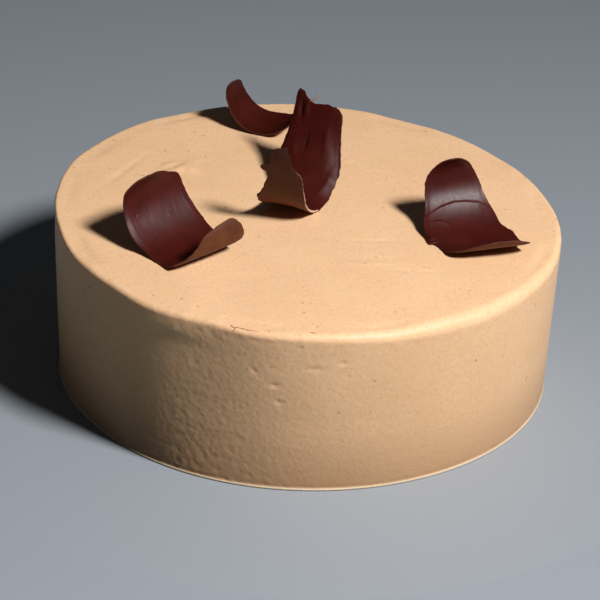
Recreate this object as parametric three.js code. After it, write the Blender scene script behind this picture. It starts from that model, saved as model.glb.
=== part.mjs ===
// A round chiffon cake under a smooth coat of coffee cream, with four curled chocolate shavings resting on top.
// Millimetres, +Z up. The origin is the middle of the flat underside, and -Y is the front.
import * as THREE from "three";

// The cake: a drum that widens a little towards its top, with a rounded rim and a thin foot of cream.
const cake = {
  height: 68.6,
  topRadius: 101,
  baseRadius: 97,
  baseShift: 1.6, // the underside sits this far to the right of the top
  rimRadius: 3.2,
  footHeight: 1.2,
  footReach: 0.8,
  sectors: 96,
};

// The outline isn't a true circle: each lobe swells it by size, count times round, the first at the angle toward.
const topLobes = [
  { count: 2, size: 2.0, toward: -58 },
  { count: 3, size: 0.4, toward: -10 },
];
const baseLobes = [
  { count: 2, size: 0.7, toward: 24 },
  { count: 3, size: 0.7, toward: -6 },
];

// The rim was left by a hand-held spatula, so it sinks here and there, by this much at most.
const rimLobes = [
  { count: 4, size: 0.25, toward: -110 },
  { count: 9, size: 0.2, toward: -95 },
  { count: 17, size: 0.15, toward: -101 },
];

// The shavings: thin sheets, each rolled about one line, its foot, which rests on the cake.
// heading: the direction of the roll's line, in degrees from +X; tilt: how far that line rises, in degrees.
// bend: the radius of the roll at the front end of the sheet, at the foot and at the top end.
// flare: how much larger the roll gets in each millimetre along its line.
// bow: how far the sheet rises 10 mm to either side of the foot's middle.
// The edges run from the front end to the top end of the flat sheet: [way from the foot, way along the roll].
const sheetThickness = 1.1;
const restGap = 0.3; // between a shaving and the cream under it
const edgeSteps = 40;
const widthSteps = 6;

const shavings = {
  curl_left: {
    foot: [-41.5, -39.5],
    heading: 42.5,
    tilt: 3.7,
    bend: { front: 5.5, foot: 21.3, top: 8 },
    flare: 0.0033,
    bow: 0,
    leftEdge: [
      [-21.5, -1.5], [-19.5, -6.5], [-11, -15], [-9.5, -17.5], [-6.5, -17.5], [9, -18],
      [18.5, -18.5], [31.5, -16], [38.5, -12.5], [40, -9],
    ],
    rightEdge: [
      [-22.5, 1], [-23.5, 5], [-23, 10.5], [-14, 14], [0, 13.5], [15, 14], [28, 13.5],
      [34, 10.5], [37, 4], [39, -3],
    ],
  },
  curl_back: {
    foot: [-18, 76.5],
    heading: 66,
    tilt: 7.3,
    bend: { front: 13, foot: 16.8, top: 11 },
    flare: 0.0006,
    bow: 0.85,
    leftEdge: [
      [-18.5, -2], [-17, -4.5], [-10.5, -8], [-0.5, -9], [10, -8.5], [22, -6.5], [28, -6.5],
      [29.5, -5],
    ],
    rightEdge: [
      [-18.5, 0.5], [-17.5, 3], [-9, 8], [0.5, 9], [10, 8], [18, 8], [24, 5.5], [28, -1],
    ],
  },
  curl_centre: {
    foot: [-2.3, 5.2],
    heading: -17.3,
    tilt: -7.4,
    bend: { front: 39, foot: 25, top: 700 },
    flare: -0.015,
    bow: -1.1,
    leftEdge: [
      [-45, -4.5], [-43, -7], [-38.5, -10.5], [-35.8, -12.2], [-35, -9.2], [-32.5, -8.8],
      [-27, -10.5], [-19, -13], [-12.5, -11.7], [2, -13.5], [21, -18], [33, -19], [41, -18],
    ],
    rightEdge: [
      [-44.5, -2.2], [-37, 3.8], [-29, 6], [-12, 7.5], [-6, 8], [10, 9], [26, 8.5], [40, 4],
      [45, 1.8], [43, -4], [40, -11], [40.5, -14.5],
    ],
  },
  curl_right: {
    foot: [65.5, -22],
    heading: 18.3,
    tilt: 3.7,
    bend: { front: 9.8, foot: 28, top: 6.5 },
    flare: 0.0045,
    bow: -0.24,
    leftEdge: [
      [-15.7, -1.5], [-14.5, -6.5], [-7.5, -12.5], [-1.5, -12.7], [5.5, -16], [9, -16.5],
      [18, -15.5], [28, -12.3], [36, -9], [42.3, -5.5],
    ],
    rightEdge: [
      [-16.4, 2], [-16.4, 5], [-15.5, 13], [-11, 19], [-5, 18.4], [4.5, 18], [8, 15.8],
      [19.5, 14.3], [31, 11.4], [38, 6.5], [42, 1.3], [43.9, -1.5],
    ],
  },
};

const creamMaterial = () =>
  new THREE.MeshStandardMaterial({ color: 0xe3b98d, roughness: 0.6, metalness: 0 });
const chocolateMaterial = () =>
  new THREE.MeshStandardMaterial({ color: 0x4a221b, roughness: 0.35, metalness: 0 });

// What a list of lobes adds at an angle, in degrees.
function swell(lobes, angle) {
  return lobes.reduce(
    (sum, lobe) => sum + lobe.size * Math.cos(THREE.MathUtils.degToRad(lobe.count * (angle - lobe.toward))),
    0,
  );
}

// The rings of the cake from the middle of its underside, over the wall and rim, to the middle of its top.
// onRim is 1 on the rim's round edge and 0 away from it.
function cakeRings() {
  const { height, topRadius, baseRadius, rimRadius, footHeight, footReach } = cake;
  const wallRadius = (z) => baseRadius + ((topRadius - baseRadius) * z) / height;
  const rings = [
    { radius: baseRadius * 0.5, z: 0, onRim: 0 },
    { radius: baseRadius + footReach * 0.5, z: 0, onRim: 0 },
    { radius: baseRadius + footReach, z: footHeight * 0.4, onRim: 0 },
    { radius: baseRadius + footReach * 0.6, z: footHeight, onRim: 0 },
    { radius: wallRadius(footHeight * 2), z: footHeight * 2, onRim: 0 },
  ];
  const wallTop = height - rimRadius;
  const wallSteps = 5;
  for (let i = 1; i <= wallSteps; i += 1) {
    const z = THREE.MathUtils.lerp(footHeight * 2, wallTop, i / wallSteps);
    rings.push({ radius: wallRadius(z), z, onRim: i === wallSteps ? 0.5 : 0 });
  }
  const rimSteps = 4;
  for (let i = 1; i <= rimSteps; i += 1) {
    const turn = (i / rimSteps) * (Math.PI / 2);
    rings.push({
      radius: topRadius - rimRadius * (1 - Math.cos(turn)),
      z: wallTop + rimRadius * Math.sin(turn),
      onRim: 1,
    });
  }
  const topShares = [0.94, 0.85, 0.65, 0.4, 0.2];
  for (const share of topShares) rings.push({ radius: topRadius * share, z: height, onRim: 0 });
  return rings;
}

// The solid of the cake: one vertex at the middle of each end, and rings of vertices between them.
function cakeGeometry() {
  const rings = cakeRings();
  const sectors = cake.sectors;
  const positions = [cake.baseShift, 0, 0];
  for (const ring of rings) {
    const rise = ring.z / cake.height;
    const share = ring.radius / THREE.MathUtils.lerp(cake.baseRadius, cake.topRadius, rise);
    for (let j = 0; j < sectors; j += 1) {
      const angle = (360 * j) / sectors;
      const lobes = THREE.MathUtils.lerp(swell(baseLobes, angle), swell(topLobes, angle), rise);
      const sink = ring.onRim * Math.abs(swell(rimLobes, angle));
      const radius = ring.radius + lobes * share - sink;
      const around = THREE.MathUtils.degToRad(angle);
      const shift = cake.baseShift * (1 - rise);
      positions.push(radius * Math.cos(around) + shift, radius * Math.sin(around), ring.z - sink);
    }
  }
  const topMiddle = positions.length / 3;
  positions.push(0, 0, cake.height);

  const triangles = [];
  for (let j = 0; j < sectors; j += 1) {
    const next = (j + 1) % sectors;
    triangles.push(0, 1 + next, 1 + j);
    for (let i = 0; i + 1 < rings.length; i += 1) {
      const low = 1 + i * sectors;
      const high = low + sectors;
      triangles.push(low + j, low + next, high + next, low + j, high + next, high + j);
    }
    const last = 1 + (rings.length - 1) * sectors;
    triangles.push(last + j, last + next, topMiddle);
  }
  return indexed(positions, triangles);
}

// The bend of a shaving as a curvature that changes smoothly from its front end, over its foot, to its top end.
function bendOf(shaving) {
  const front = shaving.leftEdge[0][0];
  const top = shaving.rightEdge.at(-1)[0];
  const [atFront, atFoot, atTop] = [shaving.bend.front, shaving.bend.foot, shaving.bend.top].map((r) => 1 / r);
  const growth = ((atTop - atFoot) / top - (atFront - atFoot) / front) / (top - front);
  const slope = (atTop - atFoot) / top - growth * top;
  return (way) => atFoot * way + (slope * way ** 2) / 2 + (growth * way ** 3) / 3; // the angle turned from the foot
}

// The point of the rolled sheet that lies way from the foot and along the roll's line in the flat sheet.
function rolledPoint(shaving, turnAt, way, along) {
  const steps = 24;
  let across = 0;
  let up = 0;
  for (let i = 0; i < steps; i += 1) {
    const turn = turnAt((way * (i + 0.5)) / steps);
    across += (Math.cos(turn) * way) / steps;
    up += (Math.sin(turn) * way) / steps;
  }
  const scale = 1 + shaving.flare * along;
  return new THREE.Vector3(along, across * scale, up * scale + shaving.bow * (along / 10) ** 2);
}

// The solid of one shaving: a grid between its two edges, rolled, with half the thickness on either side.
function shavingGeometry(shaving) {
  const turnAt = bendOf(shaving);
  const edge = (points) =>
    new THREE.SplineCurve(points.map(([way, along]) => new THREE.Vector2(way, along))).getSpacedPoints(edgeSteps);
  const left = edge(shaving.leftEdge);
  const right = edge(shaving.rightEdge);
  const columns = widthSteps + 1;
  const step = 0.05;
  const inner = [];
  const outer = [];
  for (let i = 0; i <= edgeSteps; i += 1) {
    for (let j = 0; j < columns; j += 1) {
      const flat = left[i].clone().lerp(right[i], j / widthSteps);
      const point = rolledPoint(shaving, turnAt, flat.x, flat.y);
      const alongRoll = rolledPoint(shaving, turnAt, flat.x, flat.y + step).sub(point);
      const upSheet = rolledPoint(shaving, turnAt, flat.x + step, flat.y).sub(point);
      const normal = alongRoll.cross(upSheet).setLength(sheetThickness / 2);
      inner.push(...point.clone().add(normal).toArray());
      outer.push(...point.sub(normal).toArray());
    }
  }

  const half = inner.length / 3;
  const triangles = [];
  const quad = (a, b, c, d) => triangles.push(a, b, c, a, c, d);
  for (let i = 0; i < edgeSteps; i += 1) {
    for (let j = 0; j < widthSteps; j += 1) {
      const a = i * columns + j;
      quad(a, a + 1, a + columns + 1, a + columns);
      quad(half + a, half + a + columns, half + a + columns + 1, half + a + 1);
    }
    const onLeft = i * columns;
    const onRight = onLeft + widthSteps;
    quad(onLeft, onLeft + columns, half + onLeft + columns, half + onLeft);
    quad(onRight, half + onRight, half + onRight + columns, onRight + columns);
  }
  const topRow = edgeSteps * columns;
  for (let j = 0; j < widthSteps; j += 1) {
    quad(j, half + j, half + j + 1, j + 1);
    quad(topRow + j, topRow + j + 1, half + topRow + j + 1, half + topRow + j);
  }
  return indexed([...inner, ...outer], triangles);
}

function indexed(positions, triangles) {
  const geometry = new THREE.BufferGeometry();
  geometry.setAttribute("position", new THREE.Float32BufferAttribute(positions, 3));
  geometry.setIndex(triangles);
  geometry.computeVertexNormals();
  return geometry;
}

function makeCake() {
  const mesh = new THREE.Mesh(cakeGeometry(), creamMaterial());
  mesh.name = "cake";
  return mesh;
}

// A shaving is turned and tilted about its foot, then set down on the cake.
function makeShaving(name, shaving) {
  const mesh = new THREE.Mesh(shavingGeometry(shaving), chocolateMaterial());
  mesh.name = name;
  const { degToRad } = THREE.MathUtils;
  mesh.rotation.set(0, -degToRad(shaving.tilt), degToRad(shaving.heading), "ZYX");
  const lowest = new THREE.Box3().setFromObject(mesh, true).min.z;
  mesh.position.set(shaving.foot[0], shaving.foot[1], cake.height + restGap - lowest);
  return mesh;
}

const part = new THREE.Group();
part.add(makeCake());
for (const [name, shaving] of Object.entries(shavings)) part.add(makeShaving(name, shaving));

export default part;
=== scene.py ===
"""The looks of a round chiffon cake in a coat of coffee cream, with four chocolate shavings on top.

Shapes are worked out in millimetres, in the frame's own axes, and turned into metres when a mesh is made.
"""

import math

import bpy
import numpy as np
from mathutils import Matrix, Vector, noise


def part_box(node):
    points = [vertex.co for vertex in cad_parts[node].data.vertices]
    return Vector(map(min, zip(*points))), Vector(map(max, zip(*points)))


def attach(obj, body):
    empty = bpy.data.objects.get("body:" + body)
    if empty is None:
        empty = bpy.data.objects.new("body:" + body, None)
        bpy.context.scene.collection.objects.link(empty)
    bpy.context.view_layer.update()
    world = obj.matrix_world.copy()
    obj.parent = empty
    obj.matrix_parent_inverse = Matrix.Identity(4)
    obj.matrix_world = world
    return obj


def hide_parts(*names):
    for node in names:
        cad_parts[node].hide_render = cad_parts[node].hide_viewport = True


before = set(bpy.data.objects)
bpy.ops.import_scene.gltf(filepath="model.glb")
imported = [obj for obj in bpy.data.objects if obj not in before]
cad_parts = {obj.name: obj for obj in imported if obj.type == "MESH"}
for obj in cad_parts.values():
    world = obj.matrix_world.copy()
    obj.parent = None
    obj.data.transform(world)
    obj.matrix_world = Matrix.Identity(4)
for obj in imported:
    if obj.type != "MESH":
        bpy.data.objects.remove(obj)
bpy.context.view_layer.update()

MM = 0.001  # metres in a millimetre

# ------------------------------------------------------------------ driving sizes, in millimetres

# The cake, as in the frame: a drum that widens a little towards its top, with a rounded rim.
CAKE_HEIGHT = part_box("cake")[1].z / MM
TOP_RADIUS = 101.0
BASE_RADIUS = 97.0
BASE_SHIFT = 1.6  # the underside sits this far to the right of the top
RIM_BAND = 5.4  # the rim's rounding stays within this of the top and of the wall
SHARP_RIM = 1.0  # the rim's radius where it is sharpest
TOP_FADE = 4.0  # the rim's lobes and lips die out over this much of the top
WALL_FADE = 8.0  # and over this much of the wall

# The thin bead of cream round the foot, and its rings from the underside up: (share of its reach, share of
# its height, how far the ring faces up in degrees).
FOOT_HEIGHT = 0.8
FOOT_REACH = 0.35
FOOT_RINGS = [
    (0.4, 0.0, -90), (1.0, 0.3, 0), (0.95, 0.75, 15), (0.75, 1.0, 30), (0.35, 1.2, 30), (0.1, 1.6, 15),
    (0.0, 2.1, 5),
]
FOOT_RELIEF = 0.3  # the bead has this share of the wall's unevenness

# Lobes swell a ring count times round, by their size, the first at an angle: (count, size, angle).
TOP_LOBES = [(2, 2.0, -58), (3, 0.4, -10)]
BASE_LOBES = [(2, 0.7, 24), (3, 0.7, -6)]
RIM_LOBES = [(4, 0.25, -110), (9, 0.2, -95), (17, 0.15, -101)]

# Lips are (angle, spread in degrees, size). These say where the rim is rounder, and where the spatula
# pushed the upper wall, the rim and the foot out or in.
RIM_SOFTNESS = [(-48, 40, 4.0), (-130, 32, 1.0)]
TOP_LIPS = [(-60, 32, -3.4), (-112, 13, -1.9)]
RIM_LIPS = [(-120, 9, 1.0), (-137, 6, -0.6), (112, 14, -0.8), (158, 10, 1.0), (-168, 12, -0.6)]
FOOT_LIPS = [(-172, 22, 1.3), (-143, 10, -0.5)]

# And these, of size 1, say where the wall is full of short marks and where the rim is a little broken.
MARKED_WALL = [(-112, 22, 1.0)]
BROKEN_RIM = [(-122, 22, 1.0)]

# Kinds of unevenness: (height, how large its bumps are, seed of its noise).
WALL_GRAINS = [(0.25, 42, 1), (0.03, (26, 26, 2.6), 2), (0.02, 3.6, 3), (0.02, 1.9, 17)]
TOP_GRAINS = [(0.15, 38, 4), (0.04, (20, 3.0, 20), 5), (0.03, 2.2, 8)]
TOP_FLAKES = [(1.0, (8.5, 4.0, 8.5), 18), (0.3, 3.0, 19)]
RIM_GRAIN = [(0.08, 3.5, 6)]
BROKEN_GRAIN = [(0.14, 2.2, 9)]
SHEET_GRAINS = [(0.15, 9, 15), (0.03, (6, 1.5, 1), 16)]
RAGGED_GRAINS = [  # one list for each of a flat sheet's two axes
    [(1.0, 2.0, 11), (0.5, 0.8, 13)],
    [(1.0, 2.0, 12), (0.5, 0.8, 14)],
]
SEED_SHIFT = 17.3  # the noise of each seed lies this far from the last one's

# The flat-topped marks of the wall's left part, which slant, and the flat flakes of the top.
MARK_SIZE = (2.3, 1.5, 1)
MARK_HEIGHT = 0.08
MARK_RANGES = [(0.1, 0.5), (0.1, 0.5)]  # of their noise, for the bumps and for the pits
MARK_SWELLS = [(0.04, (6, 4, 1), 10)]
MARKS_LOSE = 0.55  # the marks lose this share of their height from this height on the wall to the next
MARKS_FROM = 12
MARKS_TO = 50
FLAKE_HEIGHT = 0.05
FLAKE_RANGES = [(0.2, 0.55), (0.25, 0.6)]

# Small nicks that a spatula left in the wall: (angle, height) of both ends, and how far they stand out.
WALL_NICKS = [
    ((-88.5, 54.5), (-84.0, 54.3), -0.4),
    ((-81.2, 56.9), (-79.6, 56.8), -0.5),
    ((-96.2, 46.3), (-93.4, 46.7), -0.45),
    ((-95.0, 39.5), (-92.4, 39.0), -0.4),
    ((-100.4, 53.5), (-98.4, 50.5), -0.3),
    ((-113.8, 50.8), (-112.0, 49.0), -0.2),
]
NICK_WIDTH = 0.55

# Marks on the flat top: (path, width, height).
TOP_MARKS = [
    ([(-81.4, 11.1), (-78.4, 17.8), (-74.5, 27.5), (-70, 37.4), (-65.3, 44.6)], 1.0, -0.35),
    ([(-63, 19), (-61.5, 21.8), (-55.9, 28), (-49.9, 35.3), (-47, 40)], 2.2, 0.7),
    ([(-49.9, 35.3), (-45, 29.4)], 1.6, 0.5),
    ([(-56, 58.4), (-49.2, 49.6), (-42.5, 41)], 1.4, 0.3),
    ([(9.7, -23.7), (26, -22.5), (44.7, -19.5)], 0.9, -0.25),
    ([(13.9, -41.4), (24, -41), (36.7, -38.7)], 0.9, 0.25),
    ([(29.1, -44.5), (44, -45.5), (57.6, -44.3)], 0.9, -0.2),
    ([(13.9, 48.2), (18, 48.8)], 0.8, 0.4),
    ([(-60.4, 31.6), (-56.6, 35.4), (-53, 38.4)], 1.3, 0.6),
    ([(-52, 34.5), (-48.5, 31), (-45.5, 28.5)], 1.5, 0.6),
    ([(-48.7, -86.8), (-45.6, -88.7), (-42.5, -91)], 0.6, -0.2),
    ([(-26, -94.6), (-21.2, -96.4), (-14.6, -98.2)], 0.6, -0.3),
]

# Thin slivers of chocolate that lie in the cream near the rim: (path, radius).
SLIVERS = [
    ([(-25.3, -94.3), (-23.9, -95.2), (-23, -95.1), (-21.4, -95.6)], 0.24),
    ([(-24.4, -96.0), (-23.6, -95.4), (-22.9, -94.6)], 0.18),
    ([(-21.6, -95.5), (-18.2, -96.5), (-14.6, -97.3)], 0.16),
    ([(3.7, -97.3), (4.9, -96.9), (6.2, -97.6)], 0.18),
    ([(4.7, -97.7), (4.8, -96.3)], 0.16),
]

# The coat's mesh: how far apart its rings are, and how many sectors they have at most and at least. The
# sectors are closest together at the front. The underside's rings are (share of the base's radius, share of
# the sectors).
WALL_STEP = 0.85
TOP_STEP = 1.2
RIM_STEPS = 20
SECTORS = 704
FEWEST_SECTORS = SECTORS // 16
FRONT_CROWDING = 0.35
UNDERSIDE_RINGS = [(0.3, 1 / 16), (0.6, 1 / 8), (0.8, 1 / 4), (0.92, 1 / 2)]

# The top's rings have half the sectors within this share of its radius, and half again within each half
# of it.
TOP_HALVING = 0.7

# The shavings: sheets of one thickness, rolled about a line and set down on the cake.
SHEET_THICKNESS = 1.0
EDGE_THICKNESS = 0.5  # it thins out to this within EDGE_BAND of its edges
EDGE_BAND = 2.5
CHIPPED_THICKNESS = 0.9
RAGGED_BAND = 1.2  # its raggedness dies out over this
SPLINE_STEPS = 24  # between two knots of an edge or of a splinter's path
WISP_RADIUS = 0.5
WISP_TIP = 0.3  # a splinter tapers to this share of its radius
WISP_SIDES = 6
WISP_STEPS = 10
REST_GAP = 0.2  # between a shaving and the cream under it
SHEET_ROWS = 180
SHEET_COLUMNS = 80

# foot: where a shaving stands.
# heading, tilt: the direction of the roll's line, in degrees.
# bend: the roll's radius at the front end, at the foot and at the top end.
# flare: how much the roll grows for each millimetre along its line; bow: its rise 10 mm from the foot.
# left_edge, right_edge: from the sheet's front end to its top end, (way from the foot, way along the roll).
# ragged: how far the edges wander.
# inner: the kind of chocolate on the inner face.
# marks: (path on the sheet, width on its left, width on its right, height towards the roll's inside).
# chipped: the part of the right edge that is thick and pale, by its way; wisp: a splinter at the top end.
SHAVINGS = {
    "curl_left": {
        "foot": (-42.1, -39.5),
        "heading": 43.3,
        "tilt": 3.1,
        "bend": (7.35, 19.8, 10.2),
        "flare": 0.0032,
        "bow": 0.1,
        "left_edge": [
            (-22.9, -2.5), (-21.3, -7.3), (-11.6, -15), (-9.6, -17), (-7.5, -17.5), (8.5, -17.5),
            (17.5, -18.6), (30.6, -17.2), (35.6, -15.5), (39.1, -10.6),
        ],
        "right_edge": [
            (-23.7, -0.1), (-24.5, 3.8), (-23.8, 9.2), (-15.1, 13.2), (-0.2, 13.7), (13.4, 14.3),
            (26, 13), (30.3, 12.1), (32.5, 10.6), (34.8, 6.1), (37.4, 1.3), (39, -5.7),
        ],
        "ragged": 0.2,
        "inner": "inner",
        "marks": [
            ([(24.1, -13.2), (24.1, -12.4)], 0.5, 0.5, -0.2),
            ([(19.1, 0.7), (18.5, 2.5)], 0.6, 0.6, 0.12),
        ],
    },
    "curl_back": {
        "foot": (-18, 76.5),
        "heading": 66,
        "tilt": 7.3,
        "bend": (13, 16.8, 11),
        "flare": 0.0006,
        "bow": 0.85,
        "left_edge": [
            (-17.5, -2), (-16, -5), (-11, -7.8), (-6.5, -9.4), (2.6, -10.3), (8.6, -10.5),
            (15.1, -9.4), (18.5, -8.4), (25.8, -7.8), (28.4, -7.4), (28.6, -4),
        ],
        "right_edge": [
            (-17.6, 0.5), (-16.8, 3), (-9, 8), (-1.2, 9.4), (5, 8.2), (9.8, 7.6), (17.5, 7.3),
            (24, 5.3), (27.3, -1),
        ],
        "ragged": 0.15,
        "inner": "bloomed",
        "marks": [([(24, -7.6), (14, -9.2), (4, -10)], 1.2, 1.2, 0.4)],
    },
    "curl_centre": {
        "foot": (-2.3, 5.2),
        "heading": -17.3,
        "tilt": -7.4,
        "bend": (39, 25, 700),
        "flare": -0.015,
        "bow": -1.1,
        "left_edge": [
            (-45.8, -4), (-44.4, -6.2), (-43.3, -7.9), (-40.9, -8.9), (-37.9, -8.6), (-36, -11.7),
            (-34.5, -9), (-33, -8.1), (-30.2, -8.8), (-23.5, -10.9), (-20.6, -12.7), (-14.6, -12.6),
            (2, -13.3), (12.5, -16), (20.6, -18.3), (26.5, -18.5), (34.2, -19), (38.8, -20),
            (41.3, -19.6),
        ],
        "right_edge": [
            (-45.8, -3.4), (-43, -1.4), (-39.9, 0), (-37.9, 3), (-36, 4.4), (-31.9, 5.2), (-22.8, 6.2),
            (-12, 7.3), (0, 8.6), (10, 9.1), (20.6, 8.9), (25.8, 8.1), (30, 6.5), (35.4, 4.4),
            (42.4, 2.5), (43.9, 1), (43.7, -1.8), (42.4, -4.8), (39.9, -9.6), (39.4, -12.3), (40, -14.8),
            (41.2, -17.4),
        ],
        "ragged": 0.35,
        "inner": "inner",
        "chipped": (-39, -4),
        "wisp": [(38.8, -13.4), (40.2, -12.2), (41.3, -11), (43.1, -10.3)],
        "marks": [
            ([(39.5, -16.6), (36, -16), (32, -14.4)], 1.0, 1.0, -0.6),
            ([(39.5, -14), (36, -13.2), (33, -12.6)], 1.1, 1.1, 0.5),
            ([(29, -9.4), (26, -9.2), (22.5, -8.4)], 1.6, 0.9, -0.6),
            ([(25, -14.2), (22, -13.4), (18.7, -12)], 2.6, 2.0, 0.6),
            ([(36, -2.6), (31, -1.2), (25, 0)], 1.6, 1.6, 0.35),
            ([(22, 5.5), (14, 5.5), (5, 4)], 4.5, 2.5, 0.9),
            ([(42, 1.4), (35, 4), (27, 6.2), (16, 8)], 3.5, 3.5, -1.0),
        ],
    },
    "curl_right": {
        "foot": (64.8, -21.1),
        "heading": 16.2,
        "tilt": 2.9,
        "bend": (12.1, 25.7, 7.75),
        "flare": 0.002,
        "bow": 0,
        "left_edge": [
            (-16.6, -0.6), (-14.6, -5.4), (-9.5, -11.2), (-2, -13.3), (2.2, -14.8), (3, -16.6),
            (7.5, -16.3), (13.6, -16.2), (18.3, -14.7), (23.4, -13.3), (30.8, -12.6), (35.5, -10.6),
            (40.6, -6.8),
        ],
        "right_edge": [
            (-17.5, 2.9), (-17.6, 5.9), (-16.4, 13.9), (-11.2, 19.4), (-6.3, 18.2), (3.8, 17.7),
            (5.8, 16.4), (9.7, 14.3), (15.8, 13.3), (22.9, 11.2), (29.5, 9.5), (36.5, 6), (41.6, 0.6),
            (43, -3.5),
        ],
        "ragged": 0.2,
        "inner": "inner",
        "marks": [
            (
                [(17.6, -13.6), (20.4, -7.4), (21.5, -1.7), (21, 3.2), (19.9, 8.0), (16.6, 12.4)],
                5.5, 0.3, 0.38,
            ),
            ([(14.4, -12.7), (14, -8.8), (12.7, -7), (10.8, -5.3)], 2.2, 0.3, 0.35),
            ([(19.4, 7.4), (16.1, 9.2), (12.8, 9.9)], 0.6, 1.4, 0.2),
            ([(7.9, -15.3), (3.4, -15.4)], 1.8, 1.8, 0.7),
        ],
    },
}


# ------------------------------------------------------------------ small helpers for shapes


def grain(points, size, seed):
    """Smooth noise of about -1 to 1 at each point.

    Its bumps are about size across, which is one number or one for each axis.
    """
    scaled = np.asarray(points) / np.asarray(size, float) + SEED_SHIFT * seed
    return np.array([noise.noise(p) for p in scaled.tolist()])


def grains(points, kinds):
    """The sum of several kinds of unevenness, each (height, size, seed)."""
    return sum(height * grain(points, size, seed) for height, size, seed in kinds)


def smooth_step(value, low, high):
    """0 below low, 1 above high, and smooth between them."""
    share = np.clip((value - low) / (high - low), 0, 1)
    return share * share * (3 - 2 * share)


def flat_topped(noises, bumps, pits):
    """Bumps of 1 where noise rises through a range, and pits of -1 where it falls through another."""
    return smooth_step(noises, *bumps) - smooth_step(-noises, *pits)


def stroke(points, path, left_width, right_width, height):
    """A ridge of that height, or a groove where it is negative, along a path over flat points.

    It is highest at its middle and fades to a quarter at its ends. One that is wider on one side is a
    ledge, which slopes away evenly there and breaks off on the other side.
    """
    path = np.asarray(path, float)
    lengths = np.linalg.norm(np.diff(path, axis=0), axis=1)
    starts = np.concatenate([[0], np.cumsum(lengths)])
    nearest = np.full(len(points), 1e9)
    place, side = np.zeros(len(points)), np.zeros(len(points))
    for start, begin, end, length in zip(starts, path[:-1], path[1:], lengths):
        run, offset = end - begin, points - begin
        way = np.clip(offset @ run / length**2, 0, 1)
        away = np.linalg.norm(offset - way[:, None] * run, axis=1)
        closer = away < nearest
        nearest[closer] = away[closer]
        place[closer] = (start + way * length)[closer]
        leftward = (run[0] * offset[:, 1] - run[1] * offset[:, 0]) / length
        side[closer] = (leftward / np.maximum(away, 1e-6))[closer]
    fade = np.sin(np.pi * np.clip(place / starts[-1], 0.08, 0.92))
    toward_left = smooth_step(side, -1, 1)
    width = right_width + (left_width - right_width) * toward_left
    if left_width == right_width:
        evenly = 0
    elif left_width > right_width:
        evenly = toward_left
    else:
        evenly = 1 - toward_left
    return height * fade * np.exp(-((nearest / width) ** (2 - evenly)))


def new_piece(name, points, faces, materials, face_materials=None, uv=None):
    """A smooth mesh from points in millimetres, riding on the cake's one body.

    face_materials has the number of a material for each face, and uv has one pair for each point.
    """
    mesh = bpy.data.meshes.new(name)
    mesh.from_pydata((np.asarray(points) * MM).tolist(), [], faces)
    for material in materials:
        mesh.materials.append(material)
    mesh.polygons.foreach_set("use_smooth", [True] * len(mesh.polygons))
    if face_materials is not None:
        mesh.polygons.foreach_set("material_index", face_materials)
    if uv is not None:
        corners = np.zeros(len(mesh.loops), np.int32)
        mesh.loops.foreach_get("vertex_index", corners)
        mesh.uv_layers.new(name="sheet").uv.foreach_set("vector", np.asarray(uv)[corners].ravel())
    mesh.update()
    piece = bpy.data.objects.new(name, mesh)
    bpy.context.scene.collection.objects.link(piece)
    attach(piece, "root")
    return piece


# ------------------------------------------------------------------ materials

# The cream's colours, in sRGB.
CREAM_DARK = (235, 192, 150)
CREAM_LIGHT = (241, 198, 156)
CREAM_GRAIN = (220, 170, 122)
CREAM_SPECK = (158, 92, 54)
CREAM_LOW_SHADE = (213, 169, 128)  # painted shade low on the wall, where little light bounces onto it
CREAM_FOOT = (228, 204, 174)  # the bead at the foot

# Its specks, in metres: (how far apart, radius, how plain on the top, how plain on the wall).
CREAM_SPECKS = [(0.0028, 0.0004, 0.3, 0.15), (0.009, 0.00065, 0.5, 0.5)]

# The kinds of chocolate: (darkest colour, lightest colour, roughness, gloss, depth of its streaks in mm).
CHOCOLATES = {
    "inner": ((58, 11, 6), (67, 16, 10), 0.44, 0.27, 0.03),
    "outer": ((86, 44, 26), (102, 60, 37), 0.6, 0.16, 0.05),
    "edge": ((72, 34, 26), (90, 46, 34), 0.6, 0.2, 0.05),
    "chipped": ((150, 112, 86), (236, 204, 172), 0.6, 0.2, 0.05),
    "splinter": ((130, 104, 86), (176, 150, 130), 0.6, 0.2, 0.05),
    "bloomed": ((52, 11, 5), (62, 15, 8), 0.55, 0.12, 0.03),
    "sliver": ((150, 80, 44), (172, 100, 60), 0.6, 0.2, 0.05),
}
CHOCOLATE_FRONT_SHADE = (48, 20, 11)  # painted shade towards the front end of a shaving, where its flap faces away from the light


def new_material(name):
    """An empty Principled material: (material, its node tree, its shader)."""
    material = bpy.data.materials.new(name)
    material.use_nodes = True
    return material, material.node_tree, material.node_tree.nodes["Principled BSDF"]


def set_inputs(tree, node, values):
    """Sets a node's inputs, by name or number, each to a value or to another node's output."""
    for name, value in values.items():
        if isinstance(value, bpy.types.NodeSocket):
            tree.links.new(value, node.inputs[name])
        else:
            node.inputs[name].default_value = value


def add(tree, kind, inputs, **settings):
    """Adds a node with these inputs; settings are the node's own."""
    node = tree.nodes.new("ShaderNode" + kind)
    for name, value in settings.items():
        setattr(node, name, value)
    set_inputs(tree, node, inputs)
    return node


def noise_at(tree, coordinates, size, detail, roughness=0.5):
    """The output of a noise texture whose bumps are about size across, in metres."""
    inputs = {"Vector": coordinates, "Scale": 1 / size, "Detail": detail, "Roughness": roughness}
    return add(tree, "TexNoise", inputs).outputs["Fac"]


def between(tree, value, low, high, to_low=0.0, to_high=1.0):
    """value's range from low to high, turned into the range from to_low to to_high."""
    inputs = {"Value": value, "From Min": low, "From Max": high, "To Min": to_low, "To Max": to_high}
    return add(tree, "MapRange", inputs).outputs["Result"]


def mix_colours(tree, share, first, second):
    """first where share is 0, second where it is 1."""
    return add(tree, "Mix", {0: share, 6: first, 7: second}, data_type="RGBA").outputs[2]


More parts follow.
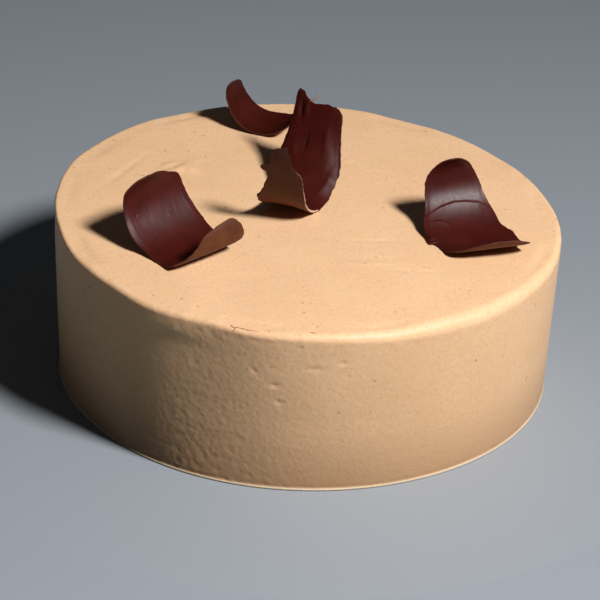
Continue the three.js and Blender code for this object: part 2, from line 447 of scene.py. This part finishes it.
def colour(red, green, blue):
    """A colour for a shader from one given in sRGB, 0 to 255."""
    linear = []
    for share in (red / 255, green / 255, blue / 255):
        linear.append(share / 12.92 if share <= 0.04045 else ((share + 0.055) / 1.055) ** 2.4)
    return (*linear, 1.0)


def specks_at(tree, coordinates, spacing, radius):
    """1 inside specks that lie about spacing apart, and 0 outside them; both sizes in metres."""
    middle = add(tree, "TexVoronoi", {"Vector": coordinates, "Scale": 1 / spacing}).outputs["Distance"]
    return between(tree, middle, 1.3 * radius / spacing, 0.5 * radius / spacing)


def cream_material():
    """Coffee cream: satin, a little see-through, finely grained, with brown specks, painted shade low on
    the wall and a paler foot.
    """
    material, tree, shader = new_material("coffee_cream")
    place = add(tree, "TexCoord", {}).outputs["Object"]
    height = add(tree, "SeparateXYZ", {0: place}).outputs["Z"]
    on_wall = between(tree, height, 0.066, 0.063)  # 0 on the top, 1 on the wall

    patches = noise_at(tree, place, 0.03, 3)
    patchy = between(tree, patches, 0.35, 0.65)
    body = mix_colours(tree, patchy, colour(*CREAM_DARK), colour(*CREAM_LIGHT))
    fine = noise_at(tree, place, 0.0014, 3)
    body = mix_colours(tree, between(tree, fine, 0.3, 0.7, 0.0, 0.4), body, colour(*CREAM_GRAIN))

    # The places of the specks wobble, so that they aren't round.
    wobble = add(tree, "TexNoise", {"Vector": place, "Scale": 900.0, "Detail": 2.0}).outputs["Color"]
    inputs = {0: wobble, 1: (0.001, 0.001, 0.001), 2: place}
    bent = add(tree, "VectorMath", inputs, operation="MULTIPLY_ADD").outputs[0]
    for spacing, radius, on_top, on_side in CREAM_SPECKS:
        plainness = between(tree, on_wall, 0.0, 1.0, on_top, on_side)
        inputs = {0: specks_at(tree, bent, spacing, radius), 1: plainness}
        specks = add(tree, "Math", inputs, operation="MULTIPLY").outputs[0]
        body = mix_colours(tree, specks, body, colour(*CREAM_SPECK))

    # Painted shade: the cream turns darker and browner over the lowest part of the wall.
    body = mix_colours(tree, between(tree, height, 0.026, 0.004), body, colour(*CREAM_LOW_SHADE))
    foot = between(tree, height, (FOOT_HEIGHT + 0.4) * MM, FOOT_HEIGHT * MM)
    body = mix_colours(tree, foot, body, colour(*CREAM_FOOT))

    # The wall's fine grain is drawn out along a slant down to the right, and the top's is even.
    slant = (0.65, -0.26, -0.71)
    along_slant = add(tree, "VectorMath", {0: place, 1: slant}, operation="DOT_PRODUCT").outputs["Value"]
    on_slant = add(tree, "VectorMath", {0: slant, "Scale": along_slant}, operation="SCALE").outputs[0]
    inputs = {0: on_slant, 1: (-0.3, -0.3, -0.3), 2: place}
    squeezed = add(tree, "VectorMath", inputs, operation="MULTIPLY_ADD").outputs[0]
    slanting = noise_at(tree, squeezed, 0.0016, 3, 0.55)
    pores = noise_at(tree, place, 0.0009, 4, 0.6)
    grained = add(tree, "Mix", {0: on_wall, 2: pores, 3: slanting}).outputs[0]
    bump = add(tree, "Bump", {"Height": grained, "Strength": 0.4, "Distance": 0.0003})
    set_inputs(tree, shader, {
        "Base Color": body,
        "Roughness": 0.5,
        "Specular IOR Level": 0.35,
        "Subsurface Weight": 0.2,
        "Subsurface Radius": (1.0, 0.6, 0.3),
        "Subsurface Scale": 0.003,
        "Normal": bump.outputs["Normal"],
    })
    return material


def chocolate_material(kind):
    """Chocolate with faint streaks along the way it was scraped, which is U of the sheet's map, and painted
    shade towards the sheet's front end.
    """
    dark, light, roughness, gloss, streak_depth = CHOCOLATES[kind]
    material, tree, shader = new_material("chocolate_" + kind)
    sheet = add(tree, "UVMap", {}, uv_map="sheet").outputs["UV"]
    clouds = noise_at(tree, sheet, 0.008, 4, 0.6)
    body = mix_colours(tree, between(tree, clouds, 0.35, 0.65), colour(*dark), colour(*light))
    way = add(tree, "SeparateXYZ", {0: sheet}).outputs["X"]
    # Painted shade: the chocolate darkens towards the front end, over the flaps.
    body = mix_colours(tree, between(tree, way, -0.015, -0.042), body, colour(*CHOCOLATE_FRONT_SHADE))

    stretched = add(tree, "VectorMath", {0: sheet, 1: (0.15, 1.0, 1.0)}, operation="MULTIPLY").outputs[0]
    streaks = noise_at(tree, stretched, 0.0012, 3, 0.6)
    scuffs = noise_at(tree, sheet, 0.0008, 3, 0.6)
    height = add(tree, "Math", {0: streaks, 1: scuffs}, operation="ADD").outputs[0]
    bump = add(tree, "Bump", {"Height": height, "Strength": 0.5, "Distance": streak_depth * MM})
    set_inputs(tree, shader, {
        "Base Color": body,
        "Roughness": between(tree, scuffs, 0.35, 0.65, roughness - 0.04, roughness + 0.04),
        "Specular IOR Level": gloss,
        "Normal": bump.outputs["Normal"],
    })
    return material


def floor_material(name, shade):
    """A plain rough material of one colour."""
    material, tree, shader = new_material(name)
    set_inputs(tree, shader, {"Base Color": colour(*shade), "Roughness": 0.6})
    return material


# ------------------------------------------------------------------ the coat of cream


def swell(lobes, angles):
    """What a list of lobes adds at the angles, which are in radians."""
    return sum(size * np.cos(count * (angles - math.radians(toward))) for count, size, toward in lobes)


def jut(lips, angles):
    """How far a list of lips juts out or in at the angles, which are in radians."""
    total = np.zeros(len(angles))
    for at, spread, size in lips:
        away = (np.degrees(angles) - at + 180) % 360 - 180
        total += size * np.exp(-((away / spread) ** 2))
    return total


def wall_radius(height):
    """The wall's radius at a height, before its lobes and lips."""
    return BASE_RADIUS + (TOP_RADIUS - BASE_RADIUS) * height / CAKE_HEIGHT


def level_ring(radius, height, lean, on_rim=0.0):
    """A ring that is the same all round. lean is how far it faces up, from -90 to 90 degrees."""
    return lambda angles: (np.full(len(angles), float(value)) for value in (radius, height, lean, on_rim))


def rim_ring(share):
    """A ring of the rim, from 0 where it leaves the wall to 1 where it meets the top."""

    def section(angles):
        rounding = SHARP_RIM + jut(RIM_SOFTNESS, angles)
        straight = RIM_BAND - rounding
        way = share * (2 * straight + rounding * math.pi / 2)
        turn = np.clip((way - straight) / rounding, 0, math.pi / 2)
        height = CAKE_HEIGHT - RIM_BAND + np.minimum(way, straight) + rounding * np.sin(turn)
        inside = rounding * (1 - np.cos(turn)) + np.maximum(way - straight - rounding * math.pi / 2, 0)
        return wall_radius(height) - inside, height, np.degrees(turn), np.ones(len(angles))

    return section


def coat_rings():
    """(sectors, ring) for each ring from the underside to the top's middle."""
    rings = []
    for reach, share in UNDERSIDE_RINGS:
        rings.append((round(SECTORS * share), level_ring(BASE_RADIUS * reach, 0, -90)))
    for reach, rise, lean in FOOT_RINGS:
        rings.append((SECTORS, level_ring(BASE_RADIUS + FOOT_REACH * reach, FOOT_HEIGHT * rise, lean)))

    bottom = FOOT_HEIGHT * 2.8  # a little over the bead
    top = CAKE_HEIGHT - RIM_BAND
    for height in np.linspace(bottom, top, round((top - bottom) / WALL_STEP), endpoint=False):
        on_rim = smooth_step(height, top - WALL_FADE, top)
        rings.append((SECTORS, level_ring(wall_radius(height), height, 0, on_rim)))
    rings += [(SECTORS, rim_ring(share)) for share in np.linspace(0, 1, RIM_STEPS + 1)]

    sectors = SECTORS
    halved_within = TOP_HALVING * TOP_RADIUS
    radius = TOP_RADIUS - RIM_BAND - TOP_STEP
    while radius > 1.5 * TOP_STEP:
        if radius < halved_within and sectors > FEWEST_SECTORS:
            sectors //= 2
            halved_within /= 2
        on_rim = 1 - smooth_step(TOP_RADIUS - radius, RIM_BAND, RIM_BAND + TOP_FADE)
        rings.append((sectors, level_ring(radius, CAKE_HEIGHT, 90, on_rim)))
        radius -= TOP_STEP
    return rings


def wall_relief(points, around):
    """How far the wall's cream stands out: swells, level streaks, nicks, and slanting marks on the left.

    around is each point's angle, in radians.
    """
    relief = grains(points, WALL_GRAINS)
    across, height = around * TOP_RADIUS, points[:, 2]
    slanting = np.stack([across - height, across + height, across * 0], 1) / math.sqrt(2)
    marks = MARK_HEIGHT * flat_topped(grain(slanting, MARK_SIZE, 7), *MARK_RANGES)
    marks += grains(slanting, MARK_SWELLS)
    strength = 1 - MARKS_LOSE * smooth_step(height, MARKS_FROM, MARKS_TO)
    relief += jut(MARKED_WALL, around) * strength * marks
    for (start, low), (end, high), size in WALL_NICKS:
        path = [(math.radians(start) * TOP_RADIUS, low), (math.radians(end) * TOP_RADIUS, high)]
        relief += stroke(np.stack([across, height], 1), path, NICK_WIDTH, NICK_WIDTH, size)
    return relief


def top_relief(points):
    """How far the top's cream stands up: swells and streaks, flat flakes, and single marks."""
    relief = grains(points, TOP_GRAINS)
    relief += FLAKE_HEIGHT * flat_topped(grains(points, TOP_FLAKES), *FLAKE_RANGES)
    for path, width, height in TOP_MARKS:
        relief += stroke(points[:, :2], path, width, width, height)
    return relief


def coat_points(rings):
    """The coat's points, ring by ring, between the middle points of its underside and its top."""
    parts = []
    for sectors, ring in rings:
        even = np.arange(sectors) * 2 * math.pi / sectors
        angles = even + FRONT_CROWDING * np.sin(even - math.pi / 2)
        radius, height, lean, on_rim = ring(angles)
        rise = height / CAKE_HEIGHT
        lobes = (1 - rise) * swell(BASE_LOBES, angles)
        lobes += rise * (swell(TOP_LOBES, angles) + jut(TOP_LIPS, angles))
        sink = on_rim * np.abs(swell(RIM_LOBES, angles))
        reach = radius * (1 + lobes / wall_radius(height)) + on_rim * jut(RIM_LIPS, angles)
        reach += (1 - rise) * jut(FOOT_LIPS, angles) * radius / wall_radius(height)
        outward = np.stack([np.cos(angles), np.sin(angles), np.zeros(sectors)], 1)
        points = outward * reach[:, None]
        points[:, 0] += BASE_SHIFT * (1 - rise)
        points[:, 2] = height - sink
        upward = np.radians(lean)[:, None]
        facing = np.cos(upward) * outward + np.sin(upward) * (0, 0, 1)
        parts.append((points, facing, lean, on_rim))
    points, facing, lean, on_rim = (np.concatenate(column) for column in zip(*parts))

    around = np.arctan2(points[:, 1], points[:, 0])
    on_top = smooth_step(lean, 10, 80)
    on_rounding = smooth_step(lean, 5, 30) * (1 - smooth_step(lean, 75, 90))
    wall = (lean >= 0) & (on_top < 1)
    top = on_top > 0
    rim = on_rim > 0
    relief = np.zeros(len(points))
    relief[wall] += (1 - on_top[wall]) * wall_relief(points[wall], around[wall])
    relief[top] += on_top[top] * top_relief(points[top])
    relief[rim] += on_rim[rim] * grains(points[rim], RIM_GRAIN)
    broken = on_rounding * jut(BROKEN_RIM, around)
    relief[rim] += broken[rim] * grains(points[rim], BROKEN_GRAIN)
    relief[points[:, 2] <= FOOT_HEIGHT] *= FOOT_RELIEF
    points = points + relief[:, None] * facing
    return np.concatenate([[[BASE_SHIFT, 0, 0]], points, [[0, 0, CAKE_HEIGHT]]])


def coat_faces(rings):
    """Faces between neighbouring rings, and round the middle points of the underside and the top.

    Where a ring has half the sectors of its neighbour, three triangles join each of its sectors to two.
    """
    faces = []
    start = 1
    first_count = rings[0][0]
    faces += [(0, start + (j + 1) % first_count, start + j) for j in range(first_count)]
    for low_ring, high_ring in zip(rings[:-1], rings[1:]):
        low_count, high_count = low_ring[0], high_ring[0]
        above = start + low_count
        if low_count == high_count:
            for j in range(low_count):
                k = (j + 1) % low_count
                faces.append((start + j, start + k, above + k, above + j))
        elif low_count > high_count:
            for j in range(high_count):
                a, b, c = (start + (2 * j + i) % low_count for i in range(3))
                p, q = above + j, above + (j + 1) % high_count
                faces += [(a, b, p), (b, q, p), (b, c, q)]
        else:
            for j in range(low_count):
                a, b, c = (above + (2 * j + i) % high_count for i in range(3))
                p, q = start + j, start + (j + 1) % low_count
                faces += [(p, b, a), (p, q, b), (q, c, b)]
        start = above
    last_count = rings[-1][0]
    middle = start + last_count
    faces += [(start + j, start + (j + 1) % last_count, middle) for j in range(last_count)]
    return faces


def make_coat():
    """The cake's coat of cream, which is all that shows of the cake."""
    rings = coat_rings()
    coat = new_piece("cream_coat", coat_points(rings), coat_faces(rings), [cream_material()])
    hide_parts("cake")
    return coat


# ------------------------------------------------------------------ the chocolate shavings

# The numbers of a shaving's materials.
INNER, OUTER, EDGE, CHIPPED, SPLINTER = range(5)


def along_spline(knots, count):
    """count + 1 evenly spaced points on a Catmull-Rom spline through the knots."""
    knots = np.asarray(knots, float)
    padded = np.concatenate([knots[:1], knots, knots[-1:]])
    share = np.linspace(0, 1, SPLINE_STEPS, endpoint=False)[:, None]
    dense = []
    for a, b, c, d in zip(padded, padded[1:], padded[2:], padded[3:]):
        pull_b, pull_c = (c - a) / 2, (d - b) / 2
        cubic = (2 * b - 2 * c + pull_b + pull_c) * share**3
        dense.append(cubic + (3 * c - 3 * b - 2 * pull_b - pull_c) * share**2 + pull_b * share + b)
    dense = np.concatenate([*dense, knots[-1:]])
    travelled = np.concatenate([[0], np.cumsum(np.linalg.norm(np.diff(dense, axis=0), axis=1))])
    stops = np.linspace(0, travelled[-1], count + 1)
    return np.stack([np.interp(stops, travelled, column) for column in dense.T], 1)


def roll_profile(shaving):
    """A function that gives (across, up) of the rolled sheet for any way from its foot."""
    front = shaving["left_edge"][0][0]
    top = shaving["right_edge"][-1][0]
    at_front, at_foot, at_top = (1 / radius for radius in shaving["bend"])
    growth = ((at_top - at_foot) / top - (at_front - at_foot) / front) / (top - front)
    slope = (at_top - at_foot) / top - growth * top
    ways = np.linspace(-60, 60, 4801)  # farther than any sheet reaches from its foot
    turns = at_foot * ways + slope * ways**2 / 2 + growth * ways**3 / 3
    step = ways[1] - ways[0]
    across, up = (np.cumsum(part(turns)) * step for part in (np.cos, np.sin))
    across -= np.interp(0, ways, across)
    up -= np.interp(0, ways, up)
    return lambda way: (np.interp(way, ways, across), np.interp(way, ways, up))


def ragged(edge, size):
    """How far the points of an edge of the flat sheet wander from its smooth line."""
    place = np.column_stack([edge, np.zeros(len(edge))])
    return size * np.column_stack([grains(place, kinds) for kinds in RAGGED_GRAINS])


def sheet_grid(shaving):
    """(grid, gap): the flat sheet's (way, along), in rows from its front end to its top end.

    gap is how far each point is from the nearest edge.
    """
    left, right = (along_spline(shaving[key], SHEET_ROWS) for key in ("left_edge", "right_edge"))
    share = np.linspace(0, 1, SHEET_COLUMNS + 1)[None, :]
    width = np.linalg.norm(right - left, axis=1)[:, None]
    grid = left[:, None] * (1 - share[..., None]) + right[:, None] * share[..., None]
    for edge, inside in ((left, share * width), (right, (1 - share) * width)):
        grid += np.exp(-inside / RAGGED_BAND)[..., None] * ragged(edge, shaving["ragged"])[:, None]
    middle = (left + right) / 2
    travelled = np.concatenate([[0], np.cumsum(np.linalg.norm(np.diff(middle, axis=0), axis=1))])[:, None]
    to_side = np.minimum(share, 1 - share) * width
    to_end = np.minimum(travelled, travelled[-1] - travelled)
    gap = np.minimum(to_side, to_end)
    return grid, gap


def sheet_relief(shaving, grid):
    """How far the sheet is pushed towards the inside of its roll: its own marks, and small unevenness."""
    flat = grid.reshape(-1, 2)
    place = np.column_stack([flat, np.zeros(len(flat))])
    relief = grains(place, SHEET_GRAINS)
    for path, left_width, right_width, height in shaving["marks"]:
        relief += stroke(flat, path, left_width, right_width, height)
    return relief.reshape(grid.shape[:-1])


def rolled(shaving, profile, grid):
    """The rolled sheet's middle surface for a grid of (way, along), in the roll's own axes."""
    way, along = grid[..., 0], grid[..., 1]
    across, up = profile(way)
    scale = 1 + shaving["flare"] * along
    return np.stack([along, across * scale, up * scale + shaving["bow"] * (along / 10) ** 2], -1)


def shaving_points(shaving):
    """(inner, outer, grid, put): both faces of a shaving on the cake, and the flat sheet under them.

    put turns points in the roll's own axes into points on the cake.
    """
    grid, gap = sheet_grid(shaving)
    profile = roll_profile(shaving)
    middle = rolled(shaving, profile, grid)
    tiny = 0.05  # a step from which the sheet's slopes are read
    along_roll = rolled(shaving, profile, grid + (0, tiny)) - middle
    up_sheet = rolled(shaving, profile, grid + (tiny, 0)) - middle
    normal = np.cross(along_roll, up_sheet)
    normal /= np.linalg.norm(normal, axis=-1, keepdims=True)
    middle = middle + normal * sheet_relief(shaving, grid)[..., None]
    heading, tilt = (math.radians(shaving[key]) for key in ("heading", "tilt"))
    turn = np.array(Matrix.Rotation(heading, 3, "Z") @ Matrix.Rotation(-tilt, 3, "Y"))
    edge = EDGE_THICKNESS + (CHIPPED_THICKNESS - EDGE_THICKNESS) * is_chipped(shaving, grid)
    thickness = edge + (SHEET_THICKNESS - edge) * smooth_step(gap, 0, EDGE_BAND)
    half = thickness[..., None] / 2
    inner, outer = ((middle + side * half * normal) @ turn.T for side in (1, -1))
    lift = CAKE_HEIGHT + REST_GAP - min(inner[..., 2].min(), outer[..., 2].min())
    place = np.array([*shaving["foot"], lift])
    return inner + place, outer + place, grid, lambda points: points @ turn.T + place


def is_chipped(shaving, grid):
    """1 in the rows of the sheet whose right edge is chipped, and 0 in the others."""
    low, high = shaving.get("chipped", (0, 0))
    return (grid[:, -1:, 0] > low) & (grid[:, -1:, 0] < high)


def shaving_faces(shaving, grid):
    """(faces, each one's material): both faces of the sheet, and the edge that joins them."""
    rows, columns = grid.shape[:2]
    half = rows * columns
    index = np.arange(half).reshape(rows, columns)
    a, b, c, d = index[:-1, :-1], index[:-1, 1:], index[1:, 1:], index[1:, :-1]
    inner = np.stack([a, b, c, d], -1).reshape(-1, 4)
    outer = np.stack([a, d, c, b], -1).reshape(-1, 4) + half
    rim = np.concatenate([index[0, :-1], index[:-1, -1], index[-1, :0:-1], index[:0:-1, 0]])
    after = np.roll(rim, -1)
    edge = np.stack([after, rim, rim + half, after + half], -1)
    edge_materials = np.full(len(edge), EDGE)
    right_edge = slice(columns - 1, columns + rows - 2)
    edge_materials[right_edge] += (CHIPPED - EDGE) * is_chipped(shaving, grid)[:-1, 0]
    sides = [INNER] * len(inner) + [OUTER] * len(outer) + edge_materials.tolist()
    return np.concatenate([inner, outer, edge]).tolist(), sides


def wisp(path, thickest):
    """(points, faces) of a splinter that tapers along a path in space, from the radius thickest."""
    path = along_spline(path, WISP_STEPS)
    turns = np.arange(WISP_SIDES) * 2 * math.pi / WISP_SIDES
    ahead = np.gradient(path, axis=0)
    ahead /= np.linalg.norm(ahead, axis=1, keepdims=True)
    side = np.cross(ahead, (0, 1, 0))
    side /= np.linalg.norm(side, axis=1, keepdims=True)
    across = np.cross(ahead, side)
    radius = np.linspace(thickest, WISP_TIP * thickest, len(path))[:, None, None]
    circle = np.cos(turns)[None, :, None] * side[:, None] + np.sin(turns)[None, :, None] * across[:, None]
    points = (path[:, None] + radius * circle).reshape(-1, 3)
    last = len(points) - WISP_SIDES
    faces = [tuple(range(WISP_SIDES - 1, -1, -1)), tuple(range(last, len(points)))]
    for low in range(0, last, WISP_SIDES):
        high = low + WISP_SIDES
        for k in range(WISP_SIDES):
            after = (k + 1) % WISP_SIDES
            faces.append((low + k, low + after, high + after, high + k))
    return points, faces


def make_shaving(name, chocolate):
    """The visual piece for one of the frame's curls."""
    shaving = SHAVINGS[name]
    inner, outer, grid, put = shaving_points(shaving)
    points = np.concatenate([inner.reshape(-1, 3), outer.reshape(-1, 3)])
    faces, sides = shaving_faces(shaving, grid)
    flat = np.concatenate([grid.reshape(-1, 2), grid.reshape(-1, 2)])
    if "wisp" in shaving:
        path = np.array(shaving["wisp"], float)
        splinter, splinter_faces = wisp(put(rolled(shaving, roll_profile(shaving), path)), WISP_RADIUS)
        faces += [tuple(corner + len(points) for corner in face) for face in splinter_faces]
        sides += [SPLINTER] * len(splinter_faces)
        points = np.concatenate([points, splinter])
        flat = np.concatenate([flat, np.zeros((len(splinter), 2))])
    materials = [chocolate[kind] for kind in (shaving["inner"], "outer", "edge", "chipped", "splinter")]
    piece = new_piece(name.replace("curl", "shaving"), points, faces, materials, sides, flat * MM)
    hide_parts(name)


def make_slivers(coat, material):
    """The slivers near the rim, as one piece. Each lies half in the cream."""
    surface = np.array([tuple(corner.co) for corner in coat.data.vertices]) / MM
    surface = surface[surface[:, 2] > CAKE_HEIGHT - RIM_BAND]
    points, faces = [], []
    for path, radius in SLIVERS:
        lying = []
        for x, y in path:
            nearest = np.argmin(np.hypot(surface[:, 0] - x, surface[:, 1] - y))
            lying.append((x, y, surface[nearest, 2]))
        corners, sides = wisp(lying, radius)
        faces += [tuple(corner + len(points) for corner in side) for side in sides]
        points += corners.tolist()
    piece = new_piece("chocolate_slivers", points, faces, [material], uv=np.zeros((len(points), 2)))


# ------------------------------------------------------------------ camera, light and floor

# The camera looks down on the cake from the front, turned a little about its own axis.
CAMERA_DISTANCE = 1043.3
CAMERA_ELEVATION = 28.76
CAMERA_ROLL = 3.20
CAMERA_TARGET = (-0.75, 0, 28.6)
CAMERA_LENS = 155.7  # for a sensor this wide
CAMERA_SENSOR = 36

# One soft key light from the front right, turned towards a point left of the cake, and a weak fill.
KEY_AZIMUTH = -40
KEY_ELEVATION = 48
KEY_DISTANCE = 1200
KEY_AIM = (-1130, -290)
KEY_SIZE = 250
KEY_WATTS = 24.6
FILL_COLOUR = (0.022, 0.024, 0.026)

# The floor, and the ring on it that lights the cake's sides. The ring starts this far out, as if the cake
# stood on something dark.
FLOOR_HALF = 3000
FLOOR_COLOUR = (148, 154, 161)
BOUNCE_FROM = 165
BOUNCE_TO = 800
BOUNCE_HEIGHT = 0.5
BOUNCE_SIDES = 48
BOUNCE_COLOUR = (140, 148, 144)


def make_camera():
    """The camera, at the photograph's angle."""
    elevation, roll = math.radians(CAMERA_ELEVATION), math.radians(CAMERA_ROLL)
    forward = Vector((0, math.cos(elevation), -math.sin(elevation)))
    level = Vector((1, 0, 0))
    above = level.cross(forward)
    right = math.cos(roll) * level + math.sin(roll) * above
    up = math.cos(roll) * above - math.sin(roll) * level
    camera = bpy.data.objects.new("camera", bpy.data.cameras.new("camera"))
    camera.data.lens = CAMERA_LENS
    camera.data.sensor_width = CAMERA_SENSOR
    camera.data.clip_start = 0.1
    camera.data.clip_end = 20
    turned = Matrix((right, up, -forward)).transposed().to_4x4()
    turned.translation = (Vector(CAMERA_TARGET) - forward * CAMERA_DISTANCE) * MM
    camera.matrix_world = turned
    bpy.context.scene.collection.objects.link(camera)
    bpy.context.scene.camera = camera


def make_light():
    """The key light and the fill."""
    azimuth, elevation = math.radians(KEY_AZIMUTH), math.radians(KEY_ELEVATION)
    level = math.cos(elevation)
    toward = Vector((level * math.cos(azimuth), level * math.sin(azimuth), math.sin(elevation)))
    light = bpy.data.lights.new("key", "AREA")
    light.shape = "DISK"
    light.size = KEY_SIZE * MM
    light.energy = KEY_WATTS
    key = bpy.data.objects.new("key", light)
    key.location = toward * KEY_DISTANCE * MM + Vector((0, 0, CAKE_HEIGHT * MM))
    aim = Vector((*KEY_AIM, CAKE_HEIGHT)) * MM
    key.rotation_euler = (key.location - aim).to_track_quat("Z", "Y").to_euler()
    bpy.context.scene.collection.objects.link(key)

    world = bpy.data.worlds.new("studio")
    world.use_nodes = True
    world.node_tree.nodes["Background"].inputs["Color"].default_value = (*FILL_COLOUR, 1)
    bpy.context.scene.world = world
    bpy.context.scene.view_settings.view_transform = "Standard"


def stage_mesh(name, points, faces, material):
    """A mesh from points in metres that belongs to the stage and not to the cake."""
    mesh = bpy.data.meshes.new(name)
    mesh.from_pydata(points, [], faces)
    mesh.materials.append(material)
    piece = bpy.data.objects.new(name, mesh)
    bpy.context.scene.collection.objects.link(piece)
    return piece


def make_floor():
    """The pale floor that shows, and just over it a ring that throws a little of its light back up."""
    half = FLOOR_HALF * MM
    square = [(-half, -half, 0), (half, -half, 0), (half, half, 0), (-half, half, 0)]
    floor = stage_mesh("floor", square, [(0, 1, 2, 3)], floor_material("studio_floor", FLOOR_COLOUR))
    floor.visible_diffuse = False

    ring = []
    for radius in (BOUNCE_FROM, BOUNCE_TO):
        for k in range(BOUNCE_SIDES):
            turn = 2 * math.pi * k / BOUNCE_SIDES
            ring.append((radius * MM * math.cos(turn), radius * MM * math.sin(turn), BOUNCE_HEIGHT * MM))
    faces = []
    for k in range(BOUNCE_SIDES):
        after = (k + 1) % BOUNCE_SIDES
        faces.append((k, k + BOUNCE_SIDES, after + BOUNCE_SIDES, after))
    bounce = stage_mesh("floor_bounce", ring, faces, floor_material("floor_bounce", BOUNCE_COLOUR))
    bounce.visible_camera = False
    bounce.visible_glossy = False
    bounce.visible_shadow = False


# ------------------------------------------------------------------ the scene

make_camera()
make_light()
make_floor()
cream_coat = make_coat()
chocolates = {kind: chocolate_material(kind) for kind in CHOCOLATES}
for shaving_name in SHAVINGS:
    make_shaving(shaving_name, chocolates)
make_slivers(cream_coat, chocolates["sliver"])
